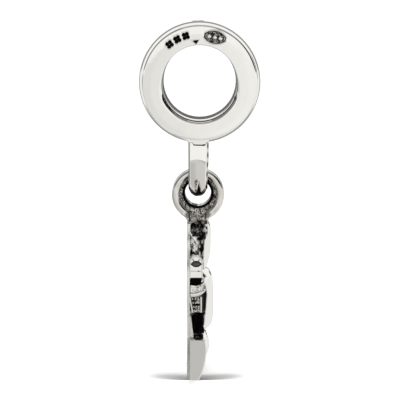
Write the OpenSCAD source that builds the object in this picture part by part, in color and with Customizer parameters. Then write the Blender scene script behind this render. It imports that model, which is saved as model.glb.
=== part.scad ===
// Dangle charm: a barrel bead with a wire loop soldered under it, and a cast pendant that hangs in the loop.
// +Z is up, the bracelet runs through the bead along Y, and the pendant's relief faces +X.
// The origin is the centre of the bead's bore.

/* [Bead] */
// Radius of the bore that the bracelet runs through
bore_r = 2.26; // [2.1:0.02:2.5]
// Length of the bead along the bracelet
bead_l = 4; // [3.8:0.1:4.8]
// Radius of the rounded edge at each end of the bore
bore_edge_r = 0.14; // [0.06:0.02:0.2]
// Width of the flat ring on each end face
face_w = 1.06; // [0.96:0.02:1.3]
// How far the middle of the barrel stands out past its ends
barrel_rise = 0.26; // [0.1:0.02:0.5]
// Height of the low swell on top of the barrel
crown_rise = 0.06; // [0.03:0.01:0.12]
// Half the width of that swell
crown_reach = 0.5; // [0.3:0.05:0.8]

/* [Marks on the end face] */
// Depth of the punched marks
mark_depth = 0.08; // [0.04:0.01:0.15]
// Length of the oval stamp
stamp_l = 1.5; // [1:0.05:1.6]
// Height of the oval stamp
stamp_h = 0.76; // [0.5:0.02:0.8]
// Radius of the beads that stand in the stamp
stamp_bead_r = 0.13; // [0.08:0.01:0.14]
// Reach of each small punched flower from its middle
flower_r = 0.26; // [0.16:0.01:0.28]
// Number of small punched flowers
flower_n = 3; // [1:1:4]
// Width of the three-sided notch beside the bore
notch_w = 0.36; // [0.2:0.02:0.5]

/* [Loop] */
// Width of the loop's wire across the bead
wire_w = 1.2; // [1:0.02:1.24]
// Thickness of the loop's wire
wire_t = 0.8; // [0.6:0.02:0.84]
// Clear width inside the loop, along the bracelet
loop_inner_w = 2.3; // [2:0.05:2.4]
// How far the loop reaches below the barrel
loop_drop = 3.3; // [3:0.05:3.8]
// How far the legs sink into the bead's wall
leg_seat = 0.5; // [0.3:0.05:0.7]
// How far the loop sits behind the middle of the bead
loop_back = 0.1; // [0:0.02:0.2]

/* [Eyelet] */
// Radius of the eyelet's bore
eye_r = 0.8; // [0.76:0.01:0.95]
// Wall of the eyelet around its bore
eye_wall = 0.82; // [0.6:0.02:0.9]
// How far the eyelet's outer round sits below its bore
eye_drop = 0.12; // [0:0.02:0.2]
// Thickness of the eyelet along its bore
eye_t = 1.24; // [1:0.02:1.4]
// Radius of the eyelet's rounded rim
eye_rim_r = 0.28; // [0.1:0.02:0.4]
// Width of the flat lip around the eyelet's bore
eye_lip_w = 0.14; // [0.08:0.01:0.2]
// Depth of the sunk ring between lip and rim
eye_sink = 0.07; // [0.03:0.01:0.12]
// Gap between the top of the eyelet's bore and the loop
hang_gap = 0.07; // [0.05:0.01:0.12]

/* [Pendant] */
// Length of the pendant below its neck
body_l = 9.35; // [8:0.05:12]
// Width of the pendant across its relief
body_w = 9.4; // [8:0.2:11]
// Thickness of the pendant from its flat back to the highest dome
body_h = 1.6; // [1.2:0.05:2]
// Distance of the flat back behind the eyelet's middle
back_reach = 0.68; // [0.6:0.02:0.9]
// Thickness of the back plate
plate_t = 0.2; // [0.15:0.01:0.3]
// How far the back plate shows round each dome
plate_rim = 0.07; // [0.03:0.01:0.15]
// Length of the neck between the eyelet and the body
neck_l = 0.08; // [0.05:0.01:0.3]
// Thickness of the neck from back to front
neck_t = 1.3; // [1:0.05:1.4]

/* [Side curls and seed heads] */
// Height of each curl
curl_l = 1.72; // [1.4:0.02:2]
// Thickness of each curl from back to front
curl_w = 0.66; // [0.5:0.02:0.8]
// Metal left round each curl's openings
curl_wall = 0.11; // [0.08:0.01:0.16]
// Depth of each curl's openings
curl_depth = 0.45; // [0.2:0.05:0.6]
// Outer radius of the cup under each curl
cup_r = 0.95; // [0.8:0.05:1.1]
// Radius of each seed in the seed heads
seed_r = 0.06; // [0.05:0.005:0.06]

/* [Hidden] */
$fn = 64;
// How far a cut runs past the face that it opens
past = 0.2;

// The barrel's profile is one arc from rim to rim
face_r = bore_r + bore_edge_r + face_w;
barrel_r = face_r + barrel_rise;
barrel_arc_r = arc_radius(bead_l / 2, barrel_rise);
mark_ring_r = bore_r + bore_edge_r + face_w / 2;
stamp_lean = 17.5;
flower_lean = 16.5;
notch_lean = 5.3;
flower_petal_r = 0.45 * flower_r;
flower_pitch = 2.05 * flower_r;
stamp_cut_l = 0.88 * stamp_l;
stamp_bead_pitch = 2.6 * stamp_bead_r;
notch_h = 0.58 * notch_w;
notch_gap = 0.08;

// The loop is half a ring, centred at loop_z, with two straight legs
loop_r = loop_inner_w / 2;
loop_z = loop_r + wire_t - barrel_r - loop_drop;
leg_y = loop_r + wire_t / 2;
leg_top_z = leg_seat - barrel_r;

// The eyelet hangs so that the mouths of its bore clear the loop's bend by the gap
mouth_r = 0.07;
mouth_y = eye_t / 2 - mouth_r;
eye_z = loop_z - sqrt(pow(loop_r, 2) - pow(mouth_y, 2)) + hang_gap - eye_r;
eye_outer_r = eye_r + eye_wall;
eye_foot_z = eye_z - eye_drop - eye_outer_r;

// The body's own frame starts on its back plane, at its top
back_x = -loop_back - back_reach;
body_top_z = eye_foot_z - neck_l;
// The neck runs on up into the eyelet and down into the body, and is widest at its foot
neck_top_run = 0.4;
neck_foot_run = 0.5;
neck_inset = 0.1;
neck_foot_w = 1.8;

// Domes of the relief, as shares chosen by hand. Columns: place across half the width, place down the
// length, height, width, length, fullness of the profile, lean in degrees
PETAL = [0, 0.102, 0.91, 0.3, 0.53, 1.8, 0];
BUD = [0, 0.505, 1, 0.36, 0.46, 3, 0];
LOBE = [0, 0.826, 0.875, 0.28, 0.4, 1.6, 0];
UPPER_LEAF = [0.3, 0.2, 0.52, 0.2, 0.34, 1.5, -34];
SIDE_LEAF = [0.56, 0.36, 0.57, 0.25, 0.5, 1.5, -44];
CHEEK = [0.64, 0.46, 0.55, 0.24, 0.26, 2, -20];
CURL_BED = [0.83, 0.34, 0.2, 0.15, 0.42, 2.4, 0];
HIP = [0.44, 0.6, 0.56, 0.26, 0.42, 2, -24];
LOWER_LEAF = [0.45, 0.822, 0.71, 0.22, 0.4, 1.6, 28];
SIDE_DOMES = [UPPER_LEAF, SIDE_LEAF, CHEEK, CURL_BED, HIP];
// Steps along a dome's profile
profile_n = 16;
// Height at which the lower leaves are cut off square, as a share down the length
leaf_cut = 0.755;

// Places on the body's side, from its top and its back
curl_x = plate_t + curl_w / 2;
curl_z = -0.252 * body_l;
curl_run = 0.6;
curl_hole_h = 0.24 * curl_l;
curl_bar_top = 0.13 * curl_l;
cup_x = plate_t + 0.16;
cup_z = -0.322 * body_l;
cup_y = body_w / 2 - curl_depth / 3;
cup_inner_r = 0.65 * cup_r;
cup_shift = 0.15 * cup_r;
seed_panel_y = 0.89 * body_w / 2;
seed_head_z = -0.478 * body_l;
seed_head_h = 0.1 * body_l;
seed_head_run = 0.8;
seed_columns = 3;
seed_rows = 4;
seed_margin = 0.35;
seed_back_top = plate_t - 0.02;
seed_back_foot = plate_t + 0.16;
seed_front = plate_t + curl_w;
rib_r = 0.045;
pocket_x = 0.5;
pocket_z = -0.045 * body_l;
pocket_r = 0.36;
pocket_floor_y = 0.45;
hollow_top_z = -0.535 * body_l;
hollow_foot_z = -0.745 * body_l;
hollow_floor_y = 0.4 * body_w / 2;
hollow_front = 2 * plate_t + curl_w;
hollow_back_foot = 1.7 * plate_t;

// Radius of the arc that rises by rise over a chord of twice half_chord
function arc_radius(half_chord, rise) = (pow(half_chord, 2) + pow(rise, 2)) / (2 * rise);

function dome_y(d) = d[0] * body_w / 2;
function dome_z(d) = -d[1] * body_l;
function dome_h(d) = d[2] * body_h;
function dome_half_w(d) = d[3] * body_w / 2;
function dome_half_l(d) = d[4] * body_l / 2;
function dome_power(d) = d[5];
function dome_lean(d) = d[6];
// A dome is round about an upright axis behind its face
function dome_r(d) = arc_radius(dome_half_w(d), dome_h(d));
function dome_axis_x(d) = dome_h(d) - dome_r(d);
function step_angle(i) = 180 * i / profile_n - 90;
function signed_power(value, power) = sign(value) * pow(abs(value), power);
function step_z(d, i) = dome_half_l(d) * signed_power(sin(step_angle(i)), 2 / dome_power(d));
function step_r(d, i) = dome_r(d) * pow(max(0, cos(step_angle(i))), 2 / dome_power(d));
// Half the width of a dome at the plate's face
function step_foot(d, i) = sqrt(max(0, pow(step_r(d, i), 2) - pow(plate_t - dome_axis_x(d), 2)));

// Share of a run at which copy i of n stands, with a margin at both ends
function share(i, n, margin) = (i + 0.5 + margin) / (n + 2 * margin);

module carrier_bead() {
    color([0.8, 0.8, 0.78]) {
        difference() {
            union() {
                rotate([90, 0, 0])
                    rotate_extrude()
                        bead_profile();
                crown();
            }
            end_face_marks();
        }
        loop();
    }
}

// Half the bead's section, with the bore's axis along Y
module bead_profile() {
    difference() {
        intersection() {
            translate([barrel_r - barrel_arc_r, 0])
                circle(barrel_arc_r);
            translate([bore_r, -bead_l / 2])
                square([barrel_r, bead_l]);
        }
        for (flip = [0, 1])
            mirror([0, flip])
                translate([bore_r, bead_l / 2])
                    bore_edge();
    }
}

module bore_edge() {
    difference() {
        translate([-past, -bore_edge_r])
            square([past + bore_edge_r, past + bore_edge_r]);
        translate([bore_edge_r, -bore_edge_r])
            circle(bore_edge_r);
    }
}

// A low swell on top of the barrel, kept inside the bead's wall
module crown() {
    crown_arc_r = arc_radius(crown_reach, crown_rise);
    intersection() {
        translate([-loop_back, 0, barrel_r + crown_rise - crown_arc_r])
            sphere(crown_arc_r);
        translate([-loop_back - crown_reach, -crown_reach, mark_ring_r])
            cube([2 * crown_reach, 2 * crown_reach, barrel_r]);
    }
}

module end_face_marks() {
    for (i = [0:flower_n - 1])
        face_mark(-flower_lean - i * flower_pitch / mark_ring_r * 180 / PI, mark_ring_r)
            flower();
    face_mark(stamp_lean, mark_ring_r)
        stamp();
    face_mark(-notch_lean, bore_r + notch_gap + notch_h / 2)
        notch();
}

// Places a cut on the end face that shows, at an angle from the top
module face_mark(angle, ring_r) {
    rotate([0, angle, 0])
        translate([0, -bead_l / 2 + mark_depth, ring_r])
            rotate([90, 0, 0])
                children();
}

module flower() {
    for (petal = [0:3])
        rotate(45 + 90 * petal)
            translate([flower_r - flower_petal_r, 0, 0])
                cylinder(r = flower_petal_r, h = mark_depth + past);
}

// A pointed oval of two crossing arcs, sunk, with three beads left standing in it
module stamp() {
    oval_r = arc_radius(stamp_l / 2, stamp_h / 2);
    difference() {
        linear_extrude(mark_depth + past)
            intersection() {
                translate([0, oval_r - stamp_h / 2])
                    circle(oval_r);
                translate([0, stamp_h / 2 - oval_r])
                    circle(oval_r);
                square([stamp_cut_l, stamp_h], center = true);
            }
        for (i = [-1:1])
            translate([i * stamp_bead_pitch, 0, -past])
                cylinder(r = stamp_bead_r, h = 2 * past + mark_depth);
    }
}

module notch() {
    linear_extrude(mark_depth + past)
        polygon([[-notch_w / 2, notch_h / 2], [notch_w / 2, notch_h / 2], [0, -notch_h / 2]]);
}

// Half a ring of wire under two straight legs
module loop() {
    translate([-loop_back, 0, loop_z]) {
        rotate([-90, 0, 90])
            rotate_extrude(angle = 180)
                translate([leg_y, 0])
                    rotate(90)
                        wire_section();
        for (side = [-1, 1])
            translate([0, side * leg_y, 0])
                linear_extrude(leg_top_z - loop_z)
                    wire_section();
    }
}

// The wire's section, wide along X with round edges
module wire_section() {
    flat_w = wire_w - wire_t;
    square([flat_w, wire_t], center = true);
    for (side = [-1, 1])
        translate([side * flat_w / 2, 0])
            circle(wire_t / 2);
}

module pendant() {
    color([0.7, 0.7, 0.68]) {
        eyelet();
        translate([back_x, 0, body_top_z])
            difference() {
                union() {
                    neck();
                    back_plate();
                    relief();
                }
                for (flip = [0, 1])
                    mirror([0, flip, 0]) {
                        pocket();
                        hollow();
                    }
            }
    }
}

module eyelet() {
    translate([-loop_back, 0, eye_z])
        rotate([90, 0, 0])
            difference() {
                translate([0, -eye_drop, 0])
                    rotate_extrude()
                        eyelet_profile();
                cylinder(r = eye_r, h = eye_t + past, center = true);
                for (flip = [0, 1])
                    mirror([0, 0, flip]) {
                        bore_mouth();
                        eyelet_sink();
                    }
            }
}

// Half the section of a disc with a rounded rim
module eyelet_profile() {
    flat_t = eye_t - 2 * eye_rim_r;
    translate([0, -eye_t / 2])
        square([eye_outer_r - eye_rim_r, eye_t]);
    translate([0, -flat_t / 2])
        square([eye_outer_r, flat_t]);
    for (side = [-1, 1])
        translate([eye_outer_r - eye_rim_r, side * flat_t / 2])
            circle(eye_rim_r);
}

module bore_mouth() {
    rotate_extrude()
        translate([eye_r, mouth_y])
            difference() {
                translate([-mouth_r, 0])
                    square([2 * mouth_r, mouth_r + past]);
                translate([mouth_r, 0])
                    circle(mouth_r);
            }
}

module eyelet_sink() {
    translate([0, 0, eye_t / 2 - eye_sink])
        difference() {
            translate([0, -eye_drop, 0])
                cylinder(r = eye_outer_r - eye_rim_r, h = past);
            cylinder(r = eye_r + eye_lip_w, h = past);
        }
}

// A block that widens downwards from inside the eyelet's foot to the body
module neck() {
    top_half_w = eye_t / 2 - neck_inset;
    along_x(neck_t)
        polygon([
            [-top_half_w, neck_l + neck_top_run],
            [top_half_w, neck_l + neck_top_run],
            [neck_foot_w / 2, -neck_foot_run],
            [-neck_foot_w / 2, -neck_foot_run]
        ]);
}

// Draws across and up, and extrudes forwards from the back plane
module along_x(depth) {
    rotate([90, 0, 90])
        linear_extrude(depth)
            children();
}

module back_plate() {
    along_x(plate_t)
        difference() {
            union() {
                web();
                for (d = [PETAL, BUD, LOBE])
                    dome_outline(d);
                for (flip = [0, 1])
                    mirror([flip, 0]) {
                        for (d = SIDE_DOMES)
                            dome_outline(d);
                        difference() {
                            dome_outline(LOWER_LEAF);
                            translate([0, -leaf_cut * body_l])
                                square([body_w, body_l]);
                        }
                    }
            }
            translate([-body_w, 0])
                square([2 * body_w, body_l]);
        }
}

// Closes the plate between the middles of the domes, so that no pinhole is left where they only just meet
module web() {
    for (flip = [0, 1])
        mirror([flip, 0])
            polygon([
                [0, dome_z(PETAL)],
                for (d = [SIDE_LEAF, CHEEK, HIP]) [dome_y(d), dome_z(d)],
                [dome_y(LOWER_LEAF), -leaf_cut * body_l],
                [0, dome_z(LOBE)]
            ]);
}

module dome_outline(d) {
    edge = [for (i = [0:profile_n]) if (step_foot(d, i) > 0)
        [step_foot(d, i) + plate_rim, step_z(d, i) * (1 + plate_rim / dome_half_l(d))]];
    mirrored = [for (i = [len(edge) - 1:-1:0]) [-edge[i][0], edge[i][1]]];
    translate([dome_y(d), dome_z(d)])
        rotate(dome_lean(d))
            polygon(concat(edge, mirrored));
}

module relief() {
    below_top()
        dome(PETAL);
    dome(BUD);
    dome(LOBE);
    for (flip = [0, 1])
        mirror([0, flip, 0]) {
            for (d = SIDE_DOMES)
                dome(d);
            lower_leaf();
            curl();
            cup();
            seed_head();
        }
}

// Keeps what lies below the body's top
module below_top() {
    intersection() {
        children();
        translate([0, -body_w, -body_l])
            cube([2 * body_h, 2 * body_w, body_l]);
    }
}

module dome(d) {
    translate([0, dome_y(d), dome_z(d)])
        rotate([dome_lean(d), 0, 0])
            intersection() {
                translate([dome_axis_x(d), 0, 0])
                    rotate_extrude()
                        polygon([for (i = [0:profile_n]) [step_r(d, i), step_z(d, i)]]);
                translate([plate_t / 2, -2 * dome_half_w(d), -dome_half_l(d)])
                    cube([body_h, 4 * dome_half_w(d), 2 * dome_half_l(d)]);
            }
}

module lower_leaf() {
    difference() {
        dome(LOWER_LEAF);
        translate([-body_h, 0, -leaf_cut * body_l])
            cube([3 * body_h, body_w, body_l]);
    }
}

// Draws back to front and up, and extrudes towards the middle from the given place across
module from_side(face_y, run) {
    translate([0, face_y, 0])
        rotate([90, 0, 0])
            linear_extrude(run)
                children();
}

// A long ring standing on the body's side, open at its upper and lower thirds
module curl() {
    difference() {
        from_side(body_w / 2, curl_run)
            curl_outline(curl_w, curl_l);
        from_side(body_w / 2 + past, curl_depth + past)
            intersection() {
                curl_outline(curl_w - 2 * curl_wall, curl_l - 2 * curl_wall);
                for (foot = [curl_bar_top, -curl_l / 2])
                    translate([0, curl_z + foot])
                        square([body_h, curl_hole_h]);
            }
    }
}

module curl_outline(width, length) {
    translate([curl_x, curl_z]) {
        square([width, length - width], center = true);
        for (side = [-1, 1])
            translate([0, side * (length - width) / 2])
                circle(width / 2);
    }
}

// The lower front quarter of a thick crescent that holds the curl
module cup() {
    from_side(cup_y, curl_run)
        intersection() {
            difference() {
                translate([cup_x, cup_z])
                    circle(cup_r);
                translate([cup_x, cup_z + cup_shift])
                    circle(cup_inner_r);
            }
            translate([plate_t / 2, cup_z - cup_r])
                square([2 * cup_r, cup_r - cup_shift]);
        }
}

// A tapered block whose side is covered with seeds between two ribs
module seed_head() {
    half_h = seed_head_h / 2;
    translate([0, 0, seed_head_z]) {
        from_side(seed_panel_y, seed_head_run)
            polygon([
                [seed_back_top, half_h],
                [seed_front, half_h],
                [seed_front, -half_h],
                [seed_back_foot, -half_h]
            ]);
        for (column = [0:seed_columns - 1])
            for (row = [0:seed_rows - 1])
                let (
                    across = share(column, seed_columns, seed_margin),
                    down = share(row, seed_rows, 0),
                    back = seed_back_top + (seed_back_foot - seed_back_top) * down
                )
                    translate([back + (seed_front - back) * across, seed_panel_y, half_h - seed_head_h * down])
                        sphere(seed_r);
        rib(seed_back_top, seed_back_foot, half_h);
        rib(seed_front, seed_front, half_h);
    }
}

// A thin round rib along the seed head's edge, from its upper to its lower end
module rib(top_x, foot_x, half_h) {
    rib_l = norm([top_x - foot_x, 2 * half_h]);
    translate([foot_x, seed_panel_y, -half_h])
        rotate([0, atan2(top_x - foot_x, 2 * half_h), 0])
            cylinder(r = rib_r, h = rib_l);
}

// A round hollow in the side of the body, under the neck
module pocket() {
    translate([pocket_x, pocket_floor_y, pocket_z])
        rotate([-90, 0, 0])
            cylinder(r = pocket_r, h = body_w);
}

// A deep tapered hollow in the side of the body, between seed head and lower leaf
module hollow() {
    from_side(body_w / 2, body_w / 2 - hollow_floor_y)
        polygon([
            [plate_t, hollow_top_z],
            [hollow_front, hollow_top_z],
            [hollow_front, hollow_foot_z],
            [hollow_back_foot, hollow_foot_z]
        ]);
}

carrier_bead();
pendant();
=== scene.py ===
from math import acos, asin, cos, degrees, pi, radians, sin, sqrt

import bmesh
import bpy
import numpy as np
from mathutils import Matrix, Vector


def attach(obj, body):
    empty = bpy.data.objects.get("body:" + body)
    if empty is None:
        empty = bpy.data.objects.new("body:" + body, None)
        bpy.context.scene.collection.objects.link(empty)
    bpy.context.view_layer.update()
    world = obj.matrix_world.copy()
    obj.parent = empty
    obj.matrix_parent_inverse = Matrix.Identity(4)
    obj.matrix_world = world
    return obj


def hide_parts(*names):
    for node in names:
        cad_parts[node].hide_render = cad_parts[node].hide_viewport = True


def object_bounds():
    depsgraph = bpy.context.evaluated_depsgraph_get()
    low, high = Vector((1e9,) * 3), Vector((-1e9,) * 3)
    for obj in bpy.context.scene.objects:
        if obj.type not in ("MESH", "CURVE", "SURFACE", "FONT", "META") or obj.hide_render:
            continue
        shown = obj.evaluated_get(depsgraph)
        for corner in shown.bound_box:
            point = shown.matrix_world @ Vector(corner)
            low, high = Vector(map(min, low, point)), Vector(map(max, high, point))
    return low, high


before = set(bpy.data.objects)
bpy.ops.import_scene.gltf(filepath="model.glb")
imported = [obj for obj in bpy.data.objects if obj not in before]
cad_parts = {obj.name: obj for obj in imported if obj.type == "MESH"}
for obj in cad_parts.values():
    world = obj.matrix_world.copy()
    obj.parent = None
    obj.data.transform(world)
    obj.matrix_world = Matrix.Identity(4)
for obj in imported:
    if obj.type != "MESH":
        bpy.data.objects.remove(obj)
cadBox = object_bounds()
print("stage: frame loaded")

# All sizes in the dictionaries are millimetres; makePiece turns them to metres.
mm = 0.001
# How far a surface turns before an edge is drawn sharp, in degrees
sharpAngle = 58


# Helpers for surfaces

def xyz(x, y, z):
    # three coordinates, of sizes that fit together, as points
    return np.stack(np.broadcast_arrays(x, y, z), axis=-1)


def gridSurface(points, patinaAndShade=0.0, wrapRows=False, wrapColumns=True):
    # rows by columns of points, joined into quads. The darkness given says how dark the silver is, from patina and from
    # painted shade and reflections, 0 polished and 1 black
    rows, columns = points.shape[:2]
    index = np.arange(rows * columns).reshape(rows, columns)
    if wrapRows:
        index = np.concatenate([index, index[:1]], axis=0)
    if wrapColumns:
        index = np.concatenate([index, index[:, :1]], axis=1)
    quads = np.stack([index[:-1, :-1], index[:-1, 1:], index[1:, 1:], index[1:, :-1]], axis=-1)
    patinaAndShade = np.clip(patinaAndShade + np.zeros((rows, columns)), 0, 1).ravel()
    return points.reshape(-1, 3), quads.reshape(-1, 4), patinaAndShade


def bell(offset, width):
    # 1 in the middle, and exp(-(offset / width)^2) beside it
    return np.exp(-(offset / width) ** 2)


def ease(low, high, value):
    # 0 below low, 1 above high, and 3t^2 - 2t^3 between them
    t = np.clip((value - low) / (high - low), 0, 1)
    return t * t * (3 - 2 * t)


def grain(points, cell, seed):
    # value noise from -1 to 1: hashed random numbers on a cubic lattice, and smooth steps between them
    table = np.random.default_rng(seed).random(8192) * 2 - 1
    place = points / cell
    base = np.floor(place).astype(np.int64)
    part = place - base
    part = part * part * (3 - 2 * part)
    total = np.zeros(points.shape[:-1])
    for corner in np.ndindex(2, 2, 2):
        at = base + corner
        key = (at[..., 0] * 73856093) ^ (at[..., 1] * 19349663) ^ (at[..., 2] * 83492791)
        weight = np.prod(np.where(np.array(corner) == 1, part, 1 - part), axis=-1)
        total += table[key % len(table)] * weight
    return total


def softCorners(corners, cuts, steps=8):
    # each corner gives way to a parabola that leaves and meets its two edges the given length away
    corners = np.array(corners, float)
    cuts = (cuts + np.zeros(len(corners)))[:, None]
    before = np.roll(corners, 1, axis=0) - corners
    after = np.roll(corners, -1, axis=0) - corners
    start = corners + before / np.linalg.norm(before, axis=1, keepdims=True) * cuts
    end = corners + after / np.linalg.norm(after, axis=1, keepdims=True) * cuts
    s = np.linspace(0, 1, steps)[:, None, None]
    curve = (1 - s) ** 2 * start + 2 * s * (1 - s) * corners + s ** 2 * end
    return curve.transpose(1, 0, 2).reshape(-1, 2)


def evenly(outline, count):
    # the closed outline again, as count points the same distance apart along it
    closed = np.vstack([outline, outline[:1]])
    along = np.cumsum([0, *np.linalg.norm(np.diff(closed, axis=0), axis=1)])
    at = np.linspace(0, along[-1], count, endpoint=False)
    return np.stack([np.interp(at, along, closed[:, 0]), np.interp(at, along, closed[:, 1])], axis=1)


def pillow(outline, front, back, edge, rings=14):
    # a pad seen from -Y: rings grow from the outline's middle to its edge, and a quarter circle of radius edge
    # turns the flat face into the straight side
    middle = outline.mean(axis=0)
    away = outline - middle
    reach = np.linalg.norm(away, axis=1)
    turn = np.linspace(0, pi / 2, 7)[1:]
    inset = np.hstack([np.full(rings, edge), edge * (1 - np.sin(turn)), 0, edge])[:, None]
    scale = np.hstack([np.linspace(0, 1, rings), np.ones(len(turn)), 1, 0])[:, None]
    depth = np.hstack([np.full(rings, front), front + edge * (1 - np.cos(turn)), back, back])
    flat = middle + away * (scale * (1 - inset / reach))[..., None]
    return xyz(flat[..., 0], depth[:, None], flat[..., 1])


def ribbon(inner, outer, front, back, edge, columns=14):
    # a band between two curves seen from -Y: a power of half a sine wave lifts its face by edge
    across = np.linspace(0, 1, columns)
    x, z = np.moveaxis(inner[:, None] + (outer - inner)[:, None] * across[:, None], -1, 0)
    face = xyz(x, front + edge * (1 - np.sin(pi * across) ** 0.6), z)
    return np.concatenate([face, xyz(x[:, ::-1], back, z[:, ::-1])], axis=1)


def closedEnds(points):
    # adds a row at each end whose points all lie in the end's middle
    middles = points[[0, -1]].mean(axis=1, keepdims=True) + 0 * points[[0, -1]]
    return np.concatenate([middles[:1], points, middles[1:]])


def levelRod(x, y, z, radius, sides=16):
    # a rod with closed ends: a level circle of the given radius round each point (x, y, z) down its length
    angle = np.linspace(0, 2 * pi, sides, endpoint=False)[:, None]
    rod = xyz(x + radius * np.cos(angle), y + radius * np.sin(angle), z)
    return closedEnds(rod.transpose(1, 0, 2))


def addObject(name, data):
    thing = bpy.data.objects.new(name, data)
    bpy.context.scene.collection.objects.link(thing)
    return thing


def newMesh(name, points, quads):
    mesh = bpy.data.meshes.new(name)
    mesh.from_pydata((np.array(points) * mm).tolist(), [], np.array(quads).tolist())
    return mesh


def makePiece(name, surfaces, material, body, *replacedNodes):
    # puts all surfaces of one piece into one mesh, merges seams and poles, and turns faces outwards
    points = np.concatenate([s[0] for s in surfaces])
    patinaAndShade = np.concatenate([s[2] for s in surfaces])
    starts = np.cumsum([0] + [len(s[0]) for s in surfaces[:-1]])
    quads = np.concatenate([s[1] + start for s, start in zip(surfaces, starts)])
    mesh = newMesh(name, points, quads)
    layer = mesh.attributes.new("patinaAndShade", "FLOAT", "POINT")
    layer.data.foreach_set("value", patinaAndShade.astype(np.float32))
    work = bmesh.new()
    work.from_mesh(mesh)
    bmesh.ops.remove_doubles(work, verts=work.verts, dist=2e-7)
    bmesh.ops.dissolve_degenerate(work, edges=work.edges, dist=1e-8)
    bmesh.ops.recalc_face_normals(work, faces=work.faces)
    work.to_mesh(mesh)
    work.free()
    mesh.shade_smooth()
    mesh.set_sharp_from_angle(angle=radians(sharpAngle))
    mesh.materials.append(material)
    piece = addObject(name, mesh)
    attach(piece, body)
    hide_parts(*replacedNodes)
    print("piece:", name, len(mesh.polygons), "faces")


# Materials

def linearColour(code):
    # sRGB hex to linear light
    parts = [int(code[i:i + 2], 16) / 255 for i in (1, 3, 5)]
    return tuple(c / 12.92 if c <= 0.04045 else ((c + 0.055) / 1.055) ** 2.4 for c in parts) + (1.0,)


def addNode(tree, kind, links=None, values=None, **settings):
    # one node with its settings, its fixed inputs and its links: input name or number -> (node, output)
    node = tree.nodes.new("ShaderNode" + kind)
    for key, value in settings.items():
        setattr(node, key, value)
    for key, value in (values or {}).items():
        node.inputs[key].default_value = value
    for key, (source, output) in (links or {}).items():
        tree.links.new(source.outputs[output], node.inputs[key])
    return node


def silverMaterial(name, finish):
    # sterling silver: the darkness attribute, patina and painted shade together, darkens it, and a grain breaks up the
    # edge of the dark places
    material = bpy.data.materials.new(name)
    material.use_nodes = True
    tree = material.node_tree
    tree.nodes.clear()
    place = addNode(tree, "TexCoord")

    def noise(size, detail, roughness):
        return addNode(tree, "TexNoise", {"Vector": (place, "Object")},
                       {"Scale": 1 / (size * mm), "Detail": detail, "Roughness": roughness})

    patinaAndShade = addNode(tree, "Attribute", attribute_name="patinaAndShade")
    speckle = noise(finish["speckle"], 3.0, 0.6)
    spread = addNode(tree, "MapRange", {"Value": (speckle, "Fac")},
                     {"From Min": 0.3, "From Max": 0.7, "To Min": -finish["breakup"], "To Max": finish["breakup"]})
    broken = addNode(tree, "Math", {0: (patinaAndShade, "Fac"), 1: (spread, "Result")}, operation="ADD")
    dark = addNode(tree, "MapRange", {"Value": (broken, "Value")},
                   {"From Min": 0.22, "From Max": 0.82}, interpolation_type="SMOOTHSTEP")
    cloud = noise(finish["cloud"], 2.0, 0.5)
    tone = addNode(tree, "Mix", {"Factor": (cloud, "Fac")},
                   {"A": linearColour(finish["bright"]), "B": linearColour(finish["dull"])}, data_type="RGBA")
    colour = addNode(tree, "Mix", {"Factor": (dark, "Result"), "A": (tone, "Result")},
                     {"B": linearColour(finish["black"])}, data_type="RGBA")
    rough = addNode(tree, "MapRange", {"Value": (dark, "Result")},
                    {"To Min": finish["roughness"], "To Max": finish["darkRoughness"]})
    bump = addNode(tree, "Bump", {"Height": (noise(finish["bumpSize"], 4.0, 0.65), "Fac")},
                   {"Strength": finish["bump"], "Distance": finish["bumpSize"] * mm * 0.3})
    shader = addNode(tree, "BsdfPrincipled",
                     {"Base Color": (colour, "Result"), "Roughness": (rough, "Result"), "Normal": (bump, "Normal")},
                     {"Metallic": 1.0})
    addNode(tree, "OutputMaterial", {"Surface": (shader, "BSDF")})
    return material


# Sterling silver, machine polished: near-white mirror with a slight warm cast and faint polishing waves
mirrorFinish = {
    "bright": "#f7f5f0", "dull": "#efede7", "black": "#0c0b0a", "roughness": 0.05, "darkRoughness": 0.5,
    "speckle": 0.09, "breakup": 0.04, "cloud": 1.4, "bump": 0.02, "bumpSize": 0.5}
polishedSilver = silverMaterial("polishedSterlingSilver", mirrorFinish)
# Sterling silver brushed dull on the plate's edges and back, so that they show one even light grey
satinSilver = silverMaterial("satinSterlingSilver", mirrorFinish | {
    "roughness": 0.42, "darkRoughness": 0.6, "bump": 0.05, "bumpSize": 0.12})
# Sterling silver as cast, blackened and then rubbed bright on the high grains of about 0.07 mm
castSilver = silverMaterial("blackenedCastSilver", {
    "bright": "#f1eee8", "dull": "#c9c6bf", "black": "#060606", "roughness": 0.14, "darkRoughness": 0.6,
    "speckle": 0.07, "breakup": 0.34, "cloud": 0.5, "bump": 0.35, "bumpSize": 0.07})
print("stage: materials ready")


# Bead

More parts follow.
